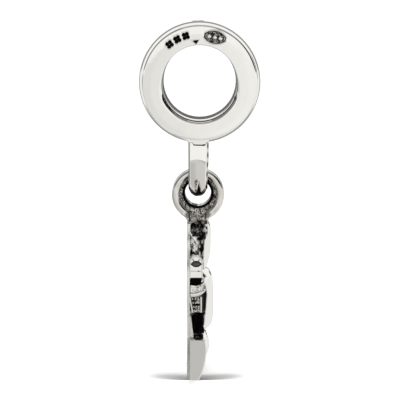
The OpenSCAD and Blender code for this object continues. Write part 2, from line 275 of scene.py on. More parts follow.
bead = {
    "boreR": 2.26, "length": 4.0, "boreEdge": 0.14, "faceW": 1.06, "rise": 0.254, "faceCrown": 0.02,
    # rows on the bore's wall, its edge, the face, the rim and the barrel
    "rows": (17, 14, 54, 14, 26),
    # least and most radius of the outer rim and of the bore's near edge, and where each changes, as a cosine
    "rimLeast": 0.04, "rimMost": 0.15, "rimTurn": (-0.25, 0.15),
    "edgeLeast": 0.045, "edgeMost": 0.3, "edgeTurn": (0.35, -0.55),
    "swellRise": 0.06, "swellReach": 0.5, "swellX": -0.1,
    "markDepth": 0.08, "markWall": (0.015, -0.03), "markTone": 0.88, "burr": 0.016, "burrAt": 0.035, "burrW": 0.03,
    "flowerR": 0.25, "petalShare": 0.45, "flowers": 3, "flowerLean": -16.5, "flowerPitch": 2.2,
    "stampL": 1.5, "stampH": 0.76, "stampEnd": 0.44, "stampLean": 18.6, "stampTurn": -7.5, "stampDrop": 0.05,
    "stampBead": 0.13, "stampPitch": 2.6, "beadStand": 0.85,
    "groundCell": 0.05, "groundGrain": 0.006, "groundTone": 0.2, "groundSpeck": 0.22,
    "notchW": 0.38, "notchH": 0.22, "notchLean": -5.3, "notchGap": 0.08,
    # the bore's wall is darkened inwards from its near mouth as painted shade: how dark, and the y over which it fades
    # in
    "boreTone": 0.74, "boreFade": (-1.2, -0.7), "spotX": 2.13, "spotZ": -0.95, "spotW": 0.06, "spotH": 0.16,
    # degrees from the top between which the columns are close, and both steps
    "dense": (-50, 42), "denseStep": 0.38, "coarseStep": 1.75,
}


def beadProfile(b, q):
    # rows of (radius, radius per edge, y, y per edge) round the bead's section, as the bore's edge e changes round
    # the ring: radius = first + e * second, and y likewise. The barrel is an arc, and q is the rim's radius
    half = b["length"] / 2
    rIn, crown = b["boreR"], b["faceCrown"]
    barrelR = rIn + b["boreEdge"] + b["faceW"] + b["rise"]
    arcR = (half ** 2 + b["rise"] ** 2) / (2 * b["rise"])
    rimR = barrelR - arcR + sqrt((arcR - q) ** 2 - (half - q) ** 2)
    rimTurn = asin((half - q) / (arcR - q))
    wallRows, edgeRows, faceRows, rimRows, barrelRows = b["rows"]
    wall = np.linspace(0, 1, wallRows)[:-1]
    turn = np.linspace(0, pi / 2, edgeRows)
    share = np.linspace(0, 1, faceRows)[1:]
    lean = np.linspace(pi / 2, rimTurn, rimRows)[1:]
    arc = np.linspace(rimTurn, 0, barrelRows)[1:]
    halfLoop = np.concatenate([np.stack(np.broadcast_arrays(*columns), axis=1) for columns in (
        (rIn, 0, half * wall, -wall),
        (rIn, 1 - np.cos(turn), half, np.sin(turn) - 1),
        (rIn + share * (rimR - rIn), 1 - share, half - crown * np.maximum(2 * share - 1, 0) ** 2, 0),
        (rimR + q * np.cos(lean), 0, half - crown - q + q * np.sin(lean), 0),
        (barrelR - arcR + arcR * np.cos(arc), 0, arcR * np.sin(arc), 0))])
    return np.concatenate([halfLoop * [1, 1, -1, -1], halfLoop[::-1][1:-1]]), len(halfLoop)


def stampedMarks(b, x, z):
    # how deep the near face is punched, how dark it is, and where its ground is rough, all from a distance that is
    # below 0 inside: a flower is four circles, the stamp two overlapping circles and the notch a triangle
    ringR = b["boreR"] + b["boreEdge"] + b["faceW"] / 2

    def turned(x, z, lean):
        a = radians(lean)
        return x * cos(a) - z * sin(a), x * sin(a) + z * cos(a)

    petalR = b["petalShare"] * b["flowerR"]
    off = (b["flowerR"] - petalR) * sqrt(0.5)
    step = degrees(b["flowerPitch"] * b["flowerR"] / ringR)
    distance, standing = 9.0, 0.0
    for i in range(b["flowers"]):
        u, w = turned(x, z, b["flowerLean"] - i * step)
        distance = np.minimum(distance, np.hypot(np.abs(u) - off, np.abs(w - ringR) - off) - petalR)
    u, w = turned(x, z, b["stampLean"])
    u, w = turned(u, w - ringR + b["stampDrop"], b["stampTurn"])
    halfH = b["stampH"] / 2
    ovalR = (b["stampL"] ** 2 / 4 + halfH ** 2) / b["stampH"]
    oval = np.hypot(u, np.abs(w) + ovalR - halfH) - ovalR
    oval = np.maximum(oval, np.abs(u) - b["stampEnd"] * b["stampL"])
    for i in (-1, 0, 1):
        away = np.hypot(u - i * b["stampPitch"] * b["stampBead"], w)
        standing = np.maximum(standing, np.sqrt(np.clip(1 - (away / b["stampBead"]) ** 2, 0, 1)))
    u, w = turned(x, z, b["notchLean"])
    w = w - b["boreR"] - b["notchGap"]
    notch = np.maximum(w - b["notchH"], np.abs(u) - b["notchW"] / 2 / b["notchH"] * w)
    distance = np.minimum(np.minimum(distance, oval), notch)
    sunk = ease(*b["markWall"], distance)
    burr = b["burr"] * bell(distance - b["burrAt"], b["burrW"]) * (distance > 0)
    depth = b["markDepth"] * sunk * (1 - b["beadStand"] * standing) - burr
    dark = sunk * (1 - 0.9 * ease(0.2, 0.7, standing))
    return depth, dark, sunk * (oval < b["markWall"][1]) * (standing < 0.05)


def beadSurface(b):
    # the profile turned about the Y axis: x = r sin(angle), z = r cos(angle). The rim is a blend of two profiles,
    # and a round swelling stands on top of the barrel
    softRim, nearRows = beadProfile(b, b["rimMost"])
    sharpRim = beadProfile(b, b["rimLeast"])[0]
    left, right = b["dense"]
    rest = left + 360 - right
    coarse = right + rest * np.linspace(0, 1, int(rest / b["coarseStep"]), endpoint=False)
    angle = np.radians(np.concatenate([np.arange(left, right, b["denseStep"]), coarse]))
    up = np.cos(angle)
    nearEdge = b["edgeLeast"] + (b["edgeMost"] - b["edgeLeast"]) * ease(*b["edgeTurn"], up)
    edge = np.where((np.arange(len(softRim)) < nearRows)[:, None], nearEdge, b["boreEdge"])
    profile = sharpRim[..., None] + (softRim - sharpRim)[..., None] * ease(*b["rimTurn"], up)
    r, y = profile[:, 0] + profile[:, 1] * edge, profile[:, 2] + profile[:, 3] * edge
    x, z = r * np.sin(angle), r * up
    onFace = (y < 0.03 - b["length"] / 2) & (r > b["boreR"] + 0.03)
    depth, dark, ground = stampedMarks(b, x, z)
    points = xyz(x, y, z)
    speck = b["groundTone"] + b["groundSpeck"] * grain(points, 0.06, 4)
    patinaAndShade = onFace * (b["markTone"] * dark - ground * speck)
    y = y + onFace * (depth + b["groundGrain"] * ground * grain(points, b["groundCell"], 3))
    # painted shade: the bore's wall darkens from a little inside its near mouth inwards
    boreShade = b["boreTone"] * ease(*b["boreFade"], y) * (r < b["boreR"] + 0.01)
    spot = ease(0.3, 0.6, bell(x - b["spotX"], b["spotW"]) * bell(z - b["spotZ"], b["spotH"]))
    spot = spot * (r < b["boreR"] + 0.12) * (y < 0)
    patinaAndShade = np.maximum(patinaAndShade, np.maximum(boreShade, spot))
    away = np.hypot(x - b["swellX"], y) / b["swellReach"]
    swell = b["swellRise"] * np.clip(1 - away ** 2, 0, 1) ** 1.5 * (z > 0) * (r > b["boreR"] + b["faceW"])
    return gridSurface(xyz(x, y, z + swell), patinaAndShade, wrapRows=True)


# Wire loop

loop = {
    "innerR": 1.15, "thickness": 0.8, "bendZ": -5.07, "topZ": -3.22, "x": -0.1,
    "section": ((-0.585, -0.4), (-0.585, 0.3), (-0.5, 0.4), (0.44, 0.4), (0.585, 0.24), (0.585, -0.4)),
    "cuts": (0.25, 0.07, 0.07, 0.03, 0.1, 0.25), "halfW": 0.585, "facetX": 0.44,
    "legRows": 60, "bendRows": 110,
    # how much wider the right side is above, and where it grows
    "topGrow": 0.11, "growZ": (-5.87, -4.47),
    # the legs' lean down to the arched crease, and the rounding of the face below it
    "slope": 0.07, "creaseRun": 1.42, "creaseArch": 0.2, "creaseX": -0.08, "crown": 0.07,
    "fall": 0.1, "fallRun": 0.8, "round": 0.36, "keel": 0.14,
    # the groove in the underside, which widens; angles in radians
    "grooveX": 0.04, "grooveDepth": 0.03, "grooveW": 0.012, "grooveGrow": 0.11,
    # where the underside's dark begins, in radians, and how dark the painted shade and reflections are on the edges,
    # crease, groove and foot
    "footLean": 0.96, "edgeTone": 0.6, "creaseTone": 0.55, "grooveTone": 0.95, "footTone": 0.9,
}


def loopSurface(w):
    # a soft-cornered section carried down one leg, round half a circle and up the other. Its outer face leans out
    # by a slope down to an arched crease and falls away below it, crowned by a parabola; round the bend its edges
    # draw back by a power of the distance from the middle
    half, bendZ = w["halfW"], w["bendZ"]
    section = evenly(softCorners(w["section"], w["cuts"]), 120)
    middleR = w["innerR"] + w["thickness"] / 2
    legs = np.linspace(0, 1, w["legRows"])
    bend = np.linspace(0, pi, w["bendRows"])[1:-1]
    down = w["topZ"] + (bendZ - w["topZ"]) * legs
    spineY = np.hstack([0 * legs - middleR, -middleR * np.cos(bend), 0 * legs + middleR])[:, None]
    spineZ = np.hstack([down, bendZ - middleR * np.sin(bend), down[::-1]])[:, None]
    lean = np.hstack([0 * legs, bend, 0 * legs + pi])[:, None]
    legL = w["topZ"] - bendZ
    run = np.hstack([legs * legL, legL + middleR * bend, legs[::-1] * legL])
    run = np.minimum(run, run[::-1])[:, None]
    a, out = section.T[:, None]
    x = w["x"] + a * (1 + w["topGrow"] * ease(*w["growZ"], spineZ) * (a > 0))
    outer = ease(0.1, 0.3, out)
    fromCrease = ((a - w["creaseX"]) / half) ** 2
    crease = w["creaseRun"] + w["creaseArch"] * fromCrease
    below = np.clip(run - crease, 0, None)
    crown = w["crown"] * fromCrease * (1 - np.exp(-below / 0.1))
    deep = ease(0.48, 0.7, lean) * ease(1.75, 1.4, lean)
    width = w["grooveW"] + w["grooveGrow"] * ease(0.5, 0.95, lean)
    groove = deep * bell(a - w["grooveX"], width) * (out > 0.3)
    rounding = (w["round"] * (np.abs(a) / half) ** 2.2 - w["keel"]) * ease(0.55, 1.3, lean)
    out = out + outer * (w["slope"] * np.minimum(run, crease) - crown - w["slope"] * w["creaseRun"])
    out = out - outer * (w["fall"] * np.minimum(below, w["fallRun"]) + rounding) - w["grooveDepth"] * groove
    y, z = spineY - out * np.cos(lean), spineZ - out * np.sin(lean)
    # painted shade and reflections: dark along the crease, in the groove, on the foot below an arched line, and along
    # both edges of the legs
    line = w["creaseTone"] * bell(run - crease, 0.025) * outer * (np.abs(a) < w["facetX"] + 0.02)
    foot = w["footLean"] - 0.2 * (np.clip(np.abs(a - w["grooveX"]) - 0.26, -0.3, 0.35) / 0.3) ** 2
    under = ease(foot, foot + 0.12, lean) * ease(2.1, 1.8, lean) * (out > -0.35)
    wavy = (a > half - 0.1) * (0.9 + 0.22 * np.cos(run * 11))
    edges = w["edgeTone"] * np.maximum(a < -0.5, wavy) * (out > -0.2)
    patinaAndShade = np.maximum(w["grooveTone"] * ease(0.25, 0.7, groove), line)
    patinaAndShade = np.maximum(patinaAndShade, np.maximum(w["footTone"] * under, edges))
    return gridSurface(closedEnds(xyz(x, y, z)), np.pad(patinaAndShade, ((1, 1), (0, 0)), mode="edge"))


solder = {
    "outline": ((-1.75, -2.75), (-1.75, -3.03), (-0.76, -3.5), (-0.7, -3.62), (-0.45, -3.61), (-0.37, -3.78),
                (0.32, -3.8), (0.42, -3.6), (0.53, -3.6), (0.56, -3.46), (1.9, -2.86), (1.9, -2.65)),
    "cuts": (0.05, 0.2, 0.12, 0.03, 0.05, 0.05, 0.05, 0.05, 0.03, 0.12, 0.2, 0.05),
    "front": -1.9885, "back": -1.25, "edge": 0.04, "fallFrom": 3.2, "fall": 0.06, "seamZ": -3.58, "seamTone": 0.75,
}


def solderSurface(s, side):
    # the solder web that carries the bead's face down to the leg: a pad flush with the face, which falls back
    # outwards in a straight line and is dark in the seam round its tongue
    outline = evenly(softCorners(s["outline"], s["cuts"]), 260)
    points = pillow(outline, s["front"], s["back"], s["edge"], rings=24)
    r = np.hypot(points[..., 0], points[..., 2])
    points[..., 1] += s["fall"] * np.clip(r - s["fallFrom"], 0, None)
    seam = (points[..., 1] > s["front"] + 0.03) & (points[..., 2] < s["seamZ"])
    points[..., 1] *= -side
    return gridSurface(points, s["seamTone"] * seam)


makePiece("carrierBeadBarrel", [beadSurface(bead)], polishedSilver, "bead", "carrier_bead")
makePiece("hangerLoop", [loopSurface(loop), solderSurface(solder, -1), solderSurface(solder, 1)], polishedSilver,
          "bead", "carrier_bead")
print("stage: bead and loop ready")


# Eyelet and neck

eyelet = {
    "x": -0.1, "z": -6.80995, "boreR": 0.8, "wall": 0.82, "drop": 0.12, "halfT": 0.62,
    # from the bore outwards: its round mouth, a black lip, a sunk rough field, and a polished round rim
    "mouth": 0.07, "lip": 0.14, "sink": 0.08, "rimW": 0.5, "rimRise": 0.2,
    "neckLeft": 0.66, "neckRight": 0.6, "neckEnd": 2.14, "neckRim": 1.66, "blend": 0.5,
    # how much thicker the neck is than the ring, and how much its foot is cut back
    "neckSwell": 0.3, "footCut": 0.45,
    "grainSize": 0.06, "grainHeight": 0.04, "wallTone": 0.1, "mouthTone": 0.95, "fieldTone": 0.62,
    # painted reflections: stripes low on the bore's wall; x where each begins, is full, fades and ends, and its
    # darkness
    "reflectionStripes": ((-0.5, -0.44, -0.16, -0.1, 0.7), (-0.1, 0.0, 0.06, 0.12, 0.35)),
}


def eyeletSurface(e):
    # a section carried round the bore: its inner part follows the bore, its outer part an outline that is a
    # circle joined softly to the neck below it
    angle = np.linspace(0, 2 * pi, 400, endpoint=False)
    sideways, up = np.sin(angle), np.cos(angle)
    circle = np.sqrt((e["boreR"] + e["wall"]) ** 2 - (e["drop"] * sideways) ** 2) - e["drop"] * up
    neckSide = np.where(sideways < 0, e["neckLeft"], e["neckRight"]) / np.maximum(np.abs(sideways), 1e-3)
    neckFoot = e["neckEnd"] / np.maximum(-up, 1e-3)
    neck = np.where(up < 0, np.minimum(neckSide, neckFoot), 0.0)
    gap = np.clip(e["blend"] - np.abs(circle - neck), 0, None) / e["blend"]
    reach = np.maximum(circle, neck) + e["blend"] * gap ** 2 / 4
    # rows of share from bore to outline, distance added, height above the middle plane, and how dark
    top, field = e["halfT"], e["halfT"] - e["sink"]
    mouth, lip, rimW = e["mouth"], e["lip"], e["rimW"]
    rows = [(0, 0, y, e["wallTone"]) for y in np.linspace(0, top - mouth, 8)]
    rows += [(0, mouth * (1 - cos(a)), top - mouth + mouth * sin(a), e["mouthTone"])
             for a in np.linspace(0, pi / 2, 7)[1:]]
    rows += [(0, mouth + (lip - mouth) * k, top - 0.01 * k, 1.0) for k in (0.35, 0.7, 1.0)]
    rows += [(0, lip + 0.02, field, 1.0)]
    rows += [(k, (lip + 0.03) * (1 - k) - rimW * k, field, e["fieldTone"]) for k in np.linspace(0.02, 0.97, 30)]
    rows += [(1, -rimW, field - 0.03, 1.0), (1, -rimW + 0.02, field - 0.01, 0.8)]
    half = (rimW - 0.02) / 2
    rows += [(1, half * cos(a) - half, top - 0.21 + e["rimRise"] * sin(a), 0.0)
             for a in np.linspace(pi * 0.88, 0, 16)]
    rows += [(1, 0, y, 0.0) for y in np.linspace(top - 0.26, 0, 6)]
    near = np.array(rows)
    far = near[::-1][1:-1] * [1, 1, -1, 1]
    share, add, height, dark = np.concatenate([near, far]).T[..., None]
    r = e["boreR"] + share * (reach - e["boreR"]) + add
    depthBelow = -r * up
    thick = 1 + e["neckSwell"] * ease(1.2, 1.6, depthBelow)
    thick = thick * (1 - e["footCut"] * ease(e["neckRim"], e["neckRim"] + 0.1, depthBelow))
    x = e["x"] + r * sideways
    points = xyz(x, -height * thick, e["z"] + r * up)
    rough = (share > 0.01) & (share < 0.98)
    noise = grain(points, e["grainSize"], 5) + 0.5 * grain(points, e["grainSize"] * 0.5, 6)
    low = ease(0.85, 1.25, depthBelow)
    points[..., 1] -= np.sign(height) * rough * noise * e["grainHeight"] * (0.3 + 1.2 * low)
    patinaAndShade = dark - rough * (0.35 * low + 0.5 * np.clip(noise, -1, 1) * (0.3 + low))
    patinaAndShade = np.where(depthBelow > e["neckRim"] - 0.07, 0.0, patinaAndShade)
    # painted reflections in stripes on the lower bore wall
    reflectionStripes = sum(tone * ease(begin, full, x) * ease(end, fade, x)
                  for begin, full, fade, end, tone in e["reflectionStripes"])
    patinaAndShade = np.where((share < 0.01) & (add < 0.001) & (depthBelow > 0.5), reflectionStripes, patinaAndShade)
    return gridSurface(points, patinaAndShade, wrapRows=True)


# Pendant's body

# The body is measured from its flat back and from its top
body = {"backX": -0.78, "topZ": -8.63, "length": 9.35, "halfW": 4.7, "height": 1.6, "plateT": 0.2, "plateRim": 0.03}
# The first five are shares of the body's sizes, lean is in degrees and the vein's depth in mm
domeColumns = ("across", "down", "height", "width", "length", "fullness", "lean", "vein")
domes = {name: dict(zip(domeColumns, row)) for name, row in {
    "petal": (0, 0.0717, 0.93, 0.3, 0.65, 2.5, 0, 0.0),
    "bud": (0, 0.5166, 1.01, 0.36, 0.431, 5.2, 0, 0.0),
    "lobe": (0, 0.826, 0.875, 0.28, 0.4, 1.6, 0, 0.05),
    "upperLeaf": (0.3, 0.2, 0.52, 0.2, 0.34, 1.5, -34, 0.06),
    "sideLeaf": (0.56, 0.36, 0.57, 0.25, 0.5, 1.5, -44, 0.06),
    "cheek": (0.64, 0.46, 0.55, 0.24, 0.26, 2, -20, 0.0),
    "curlBed": (0.83, 0.34, 0.2, 0.15, 0.42, 2.4, 0, 0.0),
    "hip": (0.44, 0.6, 0.56, 0.26, 0.42, 2, -24, 0.0),
    "lowerLeaf": (0.45, 0.83, 0.76, 0.22, 0.5, 1.68, 28, 0.03),
}.items()}
centreNames = ["petal", "bud", "lobe"]
roughNames = ["upperLeaf", "sideLeaf", "cheek", "curlBed", "hip"]
sideNames = roughNames + ["lowerLeaf"]
ribs = {"veinW": 0.05, "depth": 0.35, "slant": 0.8, "pitch": 0.42, "power": 8, "from": (0.12, 0.3)}
# The relief's lower edge, and how fast it climbs towards the sides
footEdge = {"z": -9.6, "fromY": 2.05, "climb": 0.24}
# The petal's upper part is shortened by a share and cut level; its flank has a pocket with a flat floor. The pocket's
# floor is darkened as painted shade, and a highlight is painted along its rim
petal = {"upper": 0.4, "levelZ": 0.15}
pocket = {"x": 0.59, "z": -0.29, "r": 0.39, "floorY": 0.72, "wall": 0.06, "power": 3, "tone": 0.76, "rimR": 0.42,
          "rimW": 0.05}
# The lower leaf is cut level at its top, and a leaning facet cuts its flank: y = start - slope * z
leafCut = {"z": -0.755 * body["length"], "tone": 0.25, "start": -0.1745, "slope": 0.35}
hollow = {"top": -0.535 * body["length"], "foot": -0.745 * body["length"], "floorY": 0.4 * body["halfW"], "tone": 0.12}
# How the relief is darkened. The line between dark flank and polished front is given as x at heights down the
# part, and so is the flank's tone. Spots are given by x, z, width, height and strength
tones = {
    "coarse": 0.16, "fine": 0.07, "grainHeight": 0.02, "flankGrain": 0.3, "leafGrain": 0.5,
    "lineZ": (-18.3, -15.7, -15.5, -14.6, -13.9, -13.2, -12.4, -11.8, -10.9, -10.2, -9.75, -9.35, -8.6),
    "lineX": (0.1, 0.1, 1.0, 1.1, 1.2, 1.27, 1.15, 1.05, 1.04, 1.06, 1.1, 1.28, 1.3), "lineSoft": 0.07,
    "toneZ": (-12.8, -12.5, -11.6, -11.2), "tone": (0.85, 0.5, 0.45, 0.64), "leafFront": 0.42, "leafFoot": 0.3,
    "veinTone": 8,
    "petalSpots": ((-0.4, -9.75, 0.3, 0.35, -0.45), (0.05, -9.55, 0.2, 0.15, 0.3), (0.1, -10.2, 0.3, 0.2, 0.4)),
    "leafSpots": ((-0.35, -9.75, 0.32, 0.4, -0.5), (0.1, -10.25, 0.3, 0.35, 0.6), (-0.4, -10.3, 0.12, 0.1, 0.5),
                  (-0.3, -8.9, 0.4, 0.35, 0.7), (0.15, -11.1, 0.2, 0.5, 0.4)),
}


def toPart(points):
    # from the body's own frame to the part's
    return points + [body["backX"], 0, body["topZ"]]


def leanAndPlace(points, dome):
    # turned by the dome's lean in the YZ plane, and moved to its place on the back
    a = radians(dome["lean"])
    x, y, z = np.moveaxis(points, -1, 0)
    return xyz(x, y * cos(a) - z * sin(a) + dome["across"] * body["halfW"],
               y * sin(a) + z * cos(a) - dome["down"] * body["length"])


def domeProfile(dome, rows):
    # a superellipse: r = R cos(t)^(2/n), z = L sin(t)^(2/n). R is the radius of the circle through the dome's
    # face and the ends of its width, so the upright axis lies behind the face
    height, halfW = dome["height"] * body["height"], dome["width"] * body["halfW"]
    halfL = dome["length"] * body["length"] / 2
    radius = (halfW ** 2 + height ** 2) / (2 * height)
    axisX = height - radius
    power = 2 / dome["fullness"]
    limit = max((body["plateT"] / 2 - axisX) / radius, 0) ** (1 / power)
    t = np.sin(np.linspace(-1, 1, rows) * pi / 2) * acos(min(limit, 1))
    r = radius * np.maximum(np.cos(t), 0) ** power
    return height, halfL, axisX, r, halfL * np.sign(t) * np.abs(np.sin(t)) ** power


def footLine(points):
    # level in the middle, then a straight climb with the distance from the middle plane
    return footEdge["z"] + footEdge["climb"] * np.maximum(np.abs(points[..., 1]) - footEdge["fromY"], 0)


def spots(points, rows):
    # the sum of bells seen from the side, each round its own x and z
    x, _, z = np.moveaxis(toPart(points), -1, 0)
    return sum(strength * bell(x - midX, wide) * bell(z - midZ, high) for midX, midZ, wide, high, strength in rows)


def mottle(points, seed):
    # two sizes of value noise added, from about -1 to 1
    return grain(points, tones["coarse"], seed) + 0.6 * grain(points, tones["fine"], seed + 1)


def pressPocket(points):
    # sinks both flanks to a flat floor inside a superellipse: |x|^n + |z|^n = r^n. Gives how far each point has
    # sunk, from 0 to 1, and the band along the rim behind the pocket where a highlight is painted
    n = pocket["power"]
    away = (np.abs(points[..., 0] - pocket["x"]) ** n + np.abs(points[..., 2] - pocket["z"]) ** n) ** (1 / n)
    sunk = ease(pocket["r"], pocket["r"] - pocket["wall"], away)
    floor = np.clip(points[..., 1], -pocket["floorY"], pocket["floorY"])
    points[..., 1] += sunk * (floor - points[..., 1])
    return sunk, bell(away - pocket["rimR"], pocket["rimW"]) * (points[..., 0] < pocket["x"])


def domeSurface(name, rows=150, columns=116):
    # the profile turned about its upright axis, from the plate round to the plate again: x = axis + r cos(a),
    # y = r sin(a). A bell along the middle sinks the vein, and slanting waves beside it sink the ribs
    dome = domes[name]
    height, halfL, axisX, r, z = domeProfile(dome, rows)
    if name == "petal":
        z = np.where(z > 0, petal["upper"] * z, z)
    reach = np.arccos(np.clip((body["plateT"] / 2 - axisX) / np.maximum(r, 1e-6), -1, 1))
    a = np.linspace(-1, 1, columns) * reach[:, None]
    r, z = r[:, None] + 0 * a, z[:, None] + 0 * a
    y = np.abs(r * np.sin(a))
    vein = dome["vein"] * bell(y, ribs["veinW"]) * np.clip(1 - (z / halfL) ** 4, 0, 1)
    wave = np.cos((y * ribs["slant"] - z) / ribs["pitch"] * 2 * pi) ** ribs["power"]
    rib = ribs["depth"] * dome["vein"] * wave * ease(*ribs["from"], y)
    points = leanAndPlace(xyz(axisX + (r - vein - rib) * np.cos(a), (r - vein) * np.sin(a), z), dome)
    if name == "petal":
        points[..., 2] = np.minimum(points[..., 2], petal["levelZ"])
        sunk, rim = pressPocket(points)
    x, y, z = np.moveaxis(points, -1, 0)
    partZ = z + body["topZ"]
    if name == "lowerLeaf":
        patinaAndShade = leafCut["tone"] * (z > leafCut["z"])
        z[:] = np.minimum(z, leafCut["z"])
        y[:] = np.minimum(y, leafCut["start"] - leafCut["slope"] * z)
    elif name in centreNames:
        line = np.interp(partZ, tones["lineZ"], tones["lineX"])
        flank = ease(line + tones["lineSoft"], line - tones["lineSoft"], x) * (name != "lobe")
        noise = mottle(points, 31)
        patinaAndShade = flank * (np.interp(partZ, tones["toneZ"], tones["tone"]) + tones["flankGrain"] * noise)
        if name == "petal":
            # painted shade in the pocket, and a painted highlight along its rim
            patinaAndShade = np.maximum(patinaAndShade, sunk * (pocket["tone"] + tones["flankGrain"] * noise)) * (1 - rim)
            patinaAndShade += flank * spots(points, tones["petalSpots"])
        y -= np.sign(y) * tones["grainHeight"] * flank * noise
    else:
        noise = mottle(points, 41)
        patinaAndShade = tones["leafFront"] + tones["leafFoot"] * ease(0.8, 0.3, x / height)
        patinaAndShade += tones["leafGrain"] * noise + tones["veinTone"] * vein + spots(points, tones["leafSpots"])
        patinaAndShade *= ease(1.02, 0.9, x / height)
        y -= np.sign(y) * tones["grainHeight"] * noise
    if name == "hip":
        inside = (z < hollow["top"]) & (z > hollow["foot"])
        y[:] = np.where(inside, np.minimum(y, hollow["floorY"]), y)
        patinaAndShade = np.where(z < hollow["top"], hollow["tone"], patinaAndShade)
    z[:] = np.maximum(z, footLine(points))
    return gridSurface(toPart(points), patinaAndShade)


# The plate's edge is darker towards its foot
plate = {"fadeZ": (-14.9, -16.2), "footTone": 0.5, "frontTone": 0.25, "soft": 0.05}


def plateSurface(name, step):
    # the dome's foot, grown by the rim, as a thin flat pad; each back lies a hair further in than the last, so
    # that no two lie in one plane
    dome = domes[name]
    _, halfL, axisX, r, z = domeProfile(dome, 90)
    foot = np.sqrt(np.maximum(r ** 2 - (body["plateT"] / 2 - axisX) ** 2, 0)) + body["plateRim"]
    z = z * (1 + body["plateRim"] / halfL)
    outline = evenly(np.concatenate([np.stack([foot, z], axis=1), np.stack([-foot, z], axis=1)[::-1]]), 220)
    pad = pillow(outline, 0, body["plateT"] - 0.004 * step, plate["soft"], rings=6)
    # the pad is made facing -Y: its depth becomes x, from the flat back forwards
    points = leanAndPlace(pad[..., [1, 0, 2]] + [0.002 * step, 0, 0], dome)
    points[..., 2] = np.clip(points[..., 2], footLine(points), 0.0)
    low = ease(*plate["fadeZ"], points[..., 2] + body["topZ"])
    front = points[..., 0] > body["plateT"] - 0.01
    patinaAndShade = plate["frontTone"] * front + plate["footTone"] * low * (points[..., 0] > 0.02) * ~front
    return gridSurface(toPart(points), patinaAndShade)


def webSurface():
    # the plate between the middles of the domes, which closes what their outlines leave open
    def middle(name):
        return domes[name]["across"] * body["halfW"], -domes[name]["down"] * body["length"]

    corners = [middle(name) for name in ("petal", "sideLeaf", "cheek", "hip")]
    corners += [(middle("lowerLeaf")[0], leafCut["z"]), middle("lobe")]
    corners += [(-y, z) for y, z in corners[-2:0:-1]]
    pad = pillow(evenly(np.array(corners), 240), 0.02, body["plateT"] - 0.06, 0.02, rings=4)
    return gridSurface(toPart(pad[..., [1, 0, 2]]), 0.8)


def bothSides(makeSurface, *values):
    # the surface and its mirror image on the other side of the plane y = 0
    points, quads, patinaAndShade = makeSurface(*values)
    return [(points, quads, patinaAndShade), (points * [1, -1, 1], quads[:, ::-1], patinaAndShade)]


makePiece("eyeletAndNeck", [eyeletSurface(eyelet)], castSilver, "pendant", "pendant")
plates = [webSurface()] + [plateSurface(name, i) for i, name in enumerate(centreNames)]
for i, name in enumerate(sideNames):
    plates += bothSides(plateSurface, name, i + len(centreNames))
makePiece("pendantBackPlate", plates, satinSilver, "pendant", "pendant")
makePiece("flowerPetals", [domeSurface(name) for name in centreNames], polishedSilver, "pendant", "pendant")
leaves = [surface for name in roughNames for surface in bothSides(domeSurface, name, 104, 84)]
makePiece("sprayLeaves", leaves, castSilver, "pendant", "pendant")
makePiece("lowerLeaves", bothSides(domeSurface, "lowerLeaf"), polishedSilver, "pendant", "pendant")
print("stage: pendant's relief ready")


# Details on the pendant's sides

def sidePiece(points, patinaAndShade=0.0, grainHeight=0.0, cell=1.0, seed=1):
    # moves a pad or ribbon made in the body's frame to the part's, roughens its face, and adds its darkness
    if grainHeight:
        noise = grain(points, cell, seed)
        points = points + xyz(0, grainHeight * noise, 0)
        patinaAndShade = patinaAndShade - 0.5 * noise
    return bothSides(gridSurface, toPart(points), patinaAndShade)


curl = {
    "x": 0.575, "foot": -2.79, "shoulder": -1.98, "halfW": 0.385, "archH": 0.545, "wall": 0.07, "face": -4.69,
    "run": 0.6, "round": 0.05, "power": 1 / 1.35, "waist": 0.12,
    # the filling lies behind the face, and deeper below the shelf; the slits and the dot on it are dark
    "fillBack": 0.06, "shelf": -2.38, "shelfDepth": 0.05,
    "slitX": 0.17, "slitZ": -1.71, "slitL": 0.1, "slitW": 0.05, "dotX": 0.72, "dotZ": -2.38, "dotR": 0.05,
    "lens": ((0.235, -1.95), (0.42, -1.75), (0.73, -1.75), (0.915, -1.95), (0.72, -2.13), (0.43, -2.13)),
    "lensCuts": (0.02, 0.12, 0.12, 0.02, 0.12, 0.12), "lensMiddle": 0.7,
    "gap": ((0.2, -2.76), (0.9, -2.76), (0.88, -3.13), (0.7, -3.26), (0.4, -3.26), (0.2, -3.17)),
    "gapCuts": (0.03, 0.03, 0.06, 0.12, 0.12, 0.06), "gapBack": 0.12,
}


def archCurve(c, inset):
    # up one leg, over a pointed arch and down the other: x = w sin(t), z = h cos(t)^p (1 - q |sin(2t)|), with w
    # and h less the inset
    halfW = c["halfW"] - inset
    t = np.linspace(-pi / 2, pi / 2, 110)
    rise = np.maximum(np.cos(t), 0) ** c["power"] * (1 - c["waist"] * np.abs(np.sin(2 * t)))
    arch = np.array([halfW * np.sin(t), c["shoulder"] + (c["archH"] - inset) * rise]).T
    legs = np.linspace(c["foot"], c["shoulder"], 30)[:-1]
    left = np.array([0 * legs - halfW, legs]).T
    return np.concatenate([left, arch, left[::-1] * [-1, 1]]) + [c["x"], 0]


